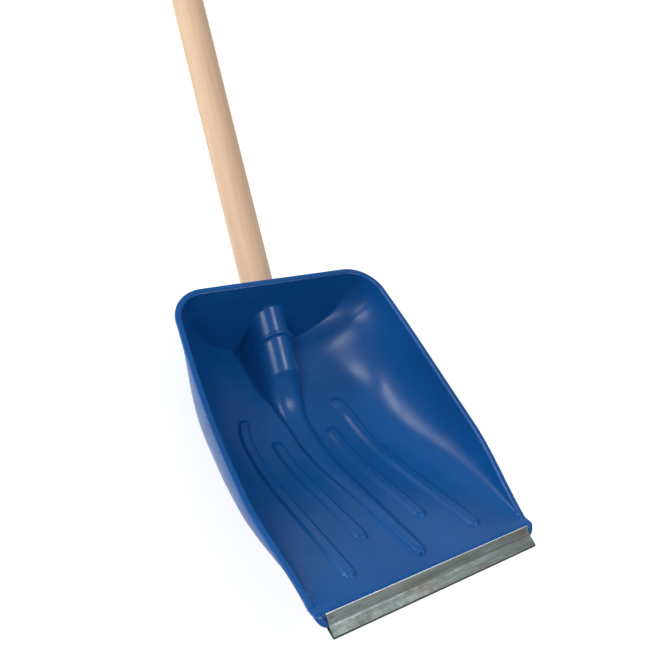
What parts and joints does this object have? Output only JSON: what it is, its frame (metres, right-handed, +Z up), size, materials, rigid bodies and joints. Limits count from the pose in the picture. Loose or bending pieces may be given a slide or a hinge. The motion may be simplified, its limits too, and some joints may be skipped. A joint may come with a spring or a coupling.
{
  "type": "snow shovel",
  "caption": "Snow shovel with a deep moulded scoop, moulded-in handle socket and ribs, a folded metal edge strip and a long round wooden handle.",
  "frame": {"origin": "on the floor, under the middle of the shovel's bounding box, with the shovel lying on its heel and on the end of its handle", "axes": "+X across the scoop, +Y along the handle towards its free end (the handle slopes down by 0.8 degrees), +Z up, the way the scoop opens"},
  "size_m": [0.275, 1.5144, 0.2385],
  "materials": {
    "scoop_plastic": "semi-gloss moulded polypropylene, blue",
    "strip_metal": "rolled sheet, dull, finely brushed along its length",
    "handle_wood": "turned pale hardwood, sanded, unvarnished",
    "screw_steel": "zinc-plated"
  },
  "bodies": {
    "root": {"scoop": "scoop_plastic", "edge_strip": "strip_metal", "handle": "handle_wood", "handle_screw": "screw_steel"}
  },
  "joints": []
}
